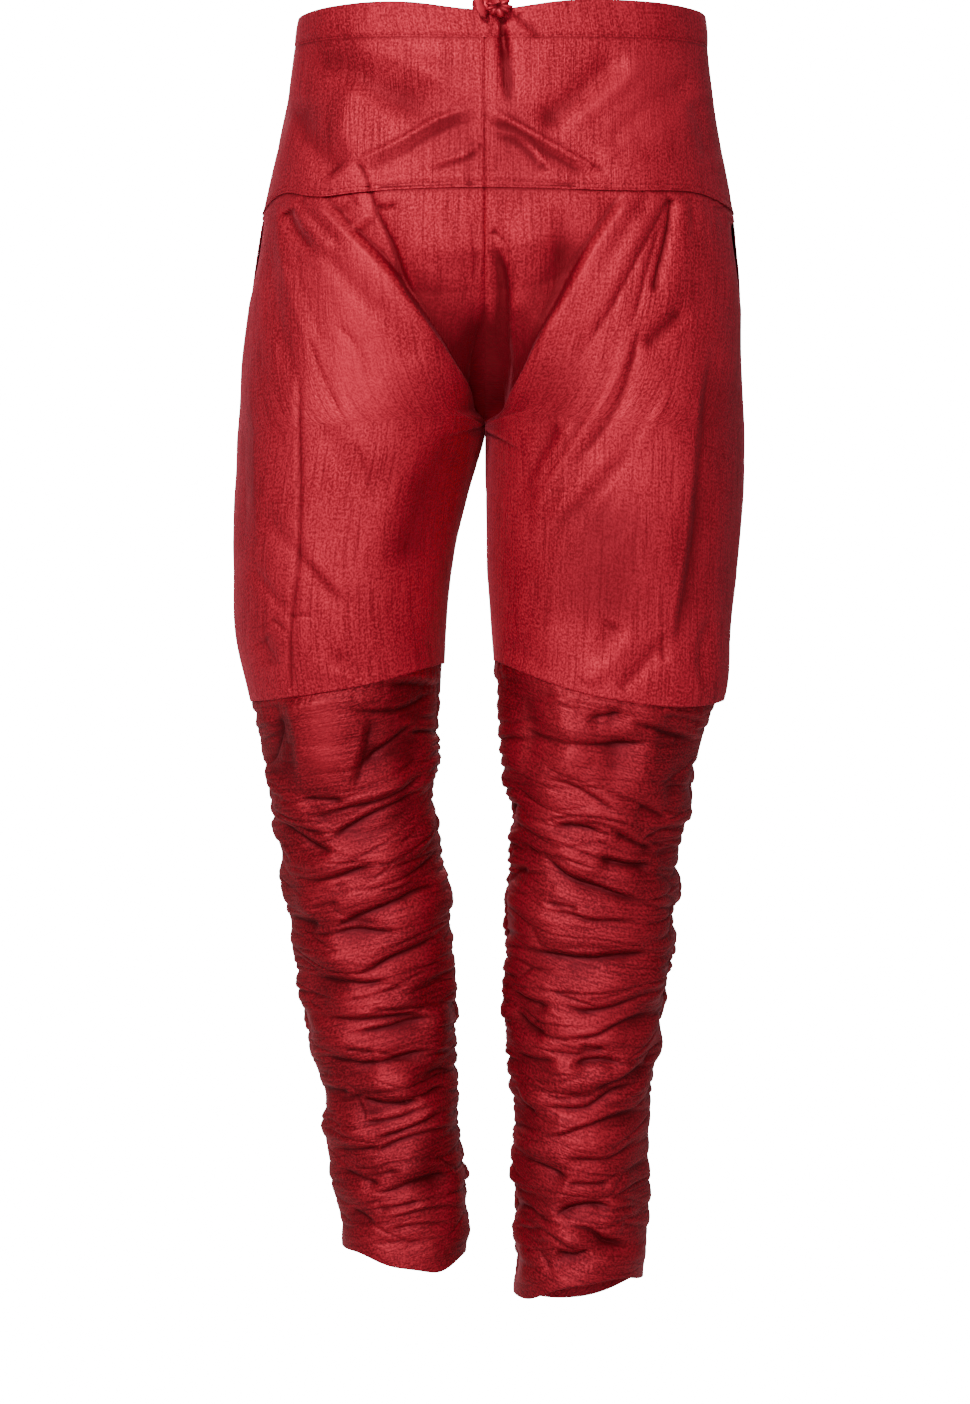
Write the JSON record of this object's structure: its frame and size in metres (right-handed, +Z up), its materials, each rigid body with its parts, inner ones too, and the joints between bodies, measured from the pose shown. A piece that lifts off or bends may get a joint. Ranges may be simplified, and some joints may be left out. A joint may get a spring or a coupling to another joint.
{
  "type": "breeches",
  "caption": "Worn drawstring breeches with a hip yoke, full pleated thighs and lower legs gathered in close rings to open ankle hems.",
  "frame": {"origin": "middle of the waist opening, in the plane of the centre seams, level with the waistband's top edge at the sides", "axes": "+Z up the body, -Y to the front, +X to the viewer's right as seen from the front"},
  "size_m": [0.388, 0.2595, 0.9785],
  "materials": {
    "upper_cloth": "slubbed satin-like art silk, fine streaks down the leg",
    "lower_cloth": "slubbed satin-like art silk, fine streaks across the leg",
    "pocket_cloth": "the same cloth in shade",
    "tie_cloth": "the same cloth, folded to a narrow tie"
  },
  "bodies": {
    "root": {"yoke_front_left": "upper_cloth", "thigh_front_left": "upper_cloth", "lower_leg_front_left": "lower_cloth", "yoke_back_left": "upper_cloth", "thigh_back_left": "upper_cloth", "lower_leg_back_left": "lower_cloth", "pocket_facing_left": "pocket_cloth", "yoke_front_right": "upper_cloth", "thigh_front_right": "upper_cloth", "lower_leg_front_right": "lower_cloth", "yoke_back_right": "upper_cloth", "thigh_back_right": "upper_cloth", "lower_leg_back_right": "lower_cloth", "pocket_facing_right": "pocket_cloth", "waistband_front": "upper_cloth", "waistband_back": "upper_cloth", "drawstring_knot": "tie_cloth", "drawstring_end_front": "tie_cloth", "drawstring_end_inside": "tie_cloth"}
  },
  "joints": []
}
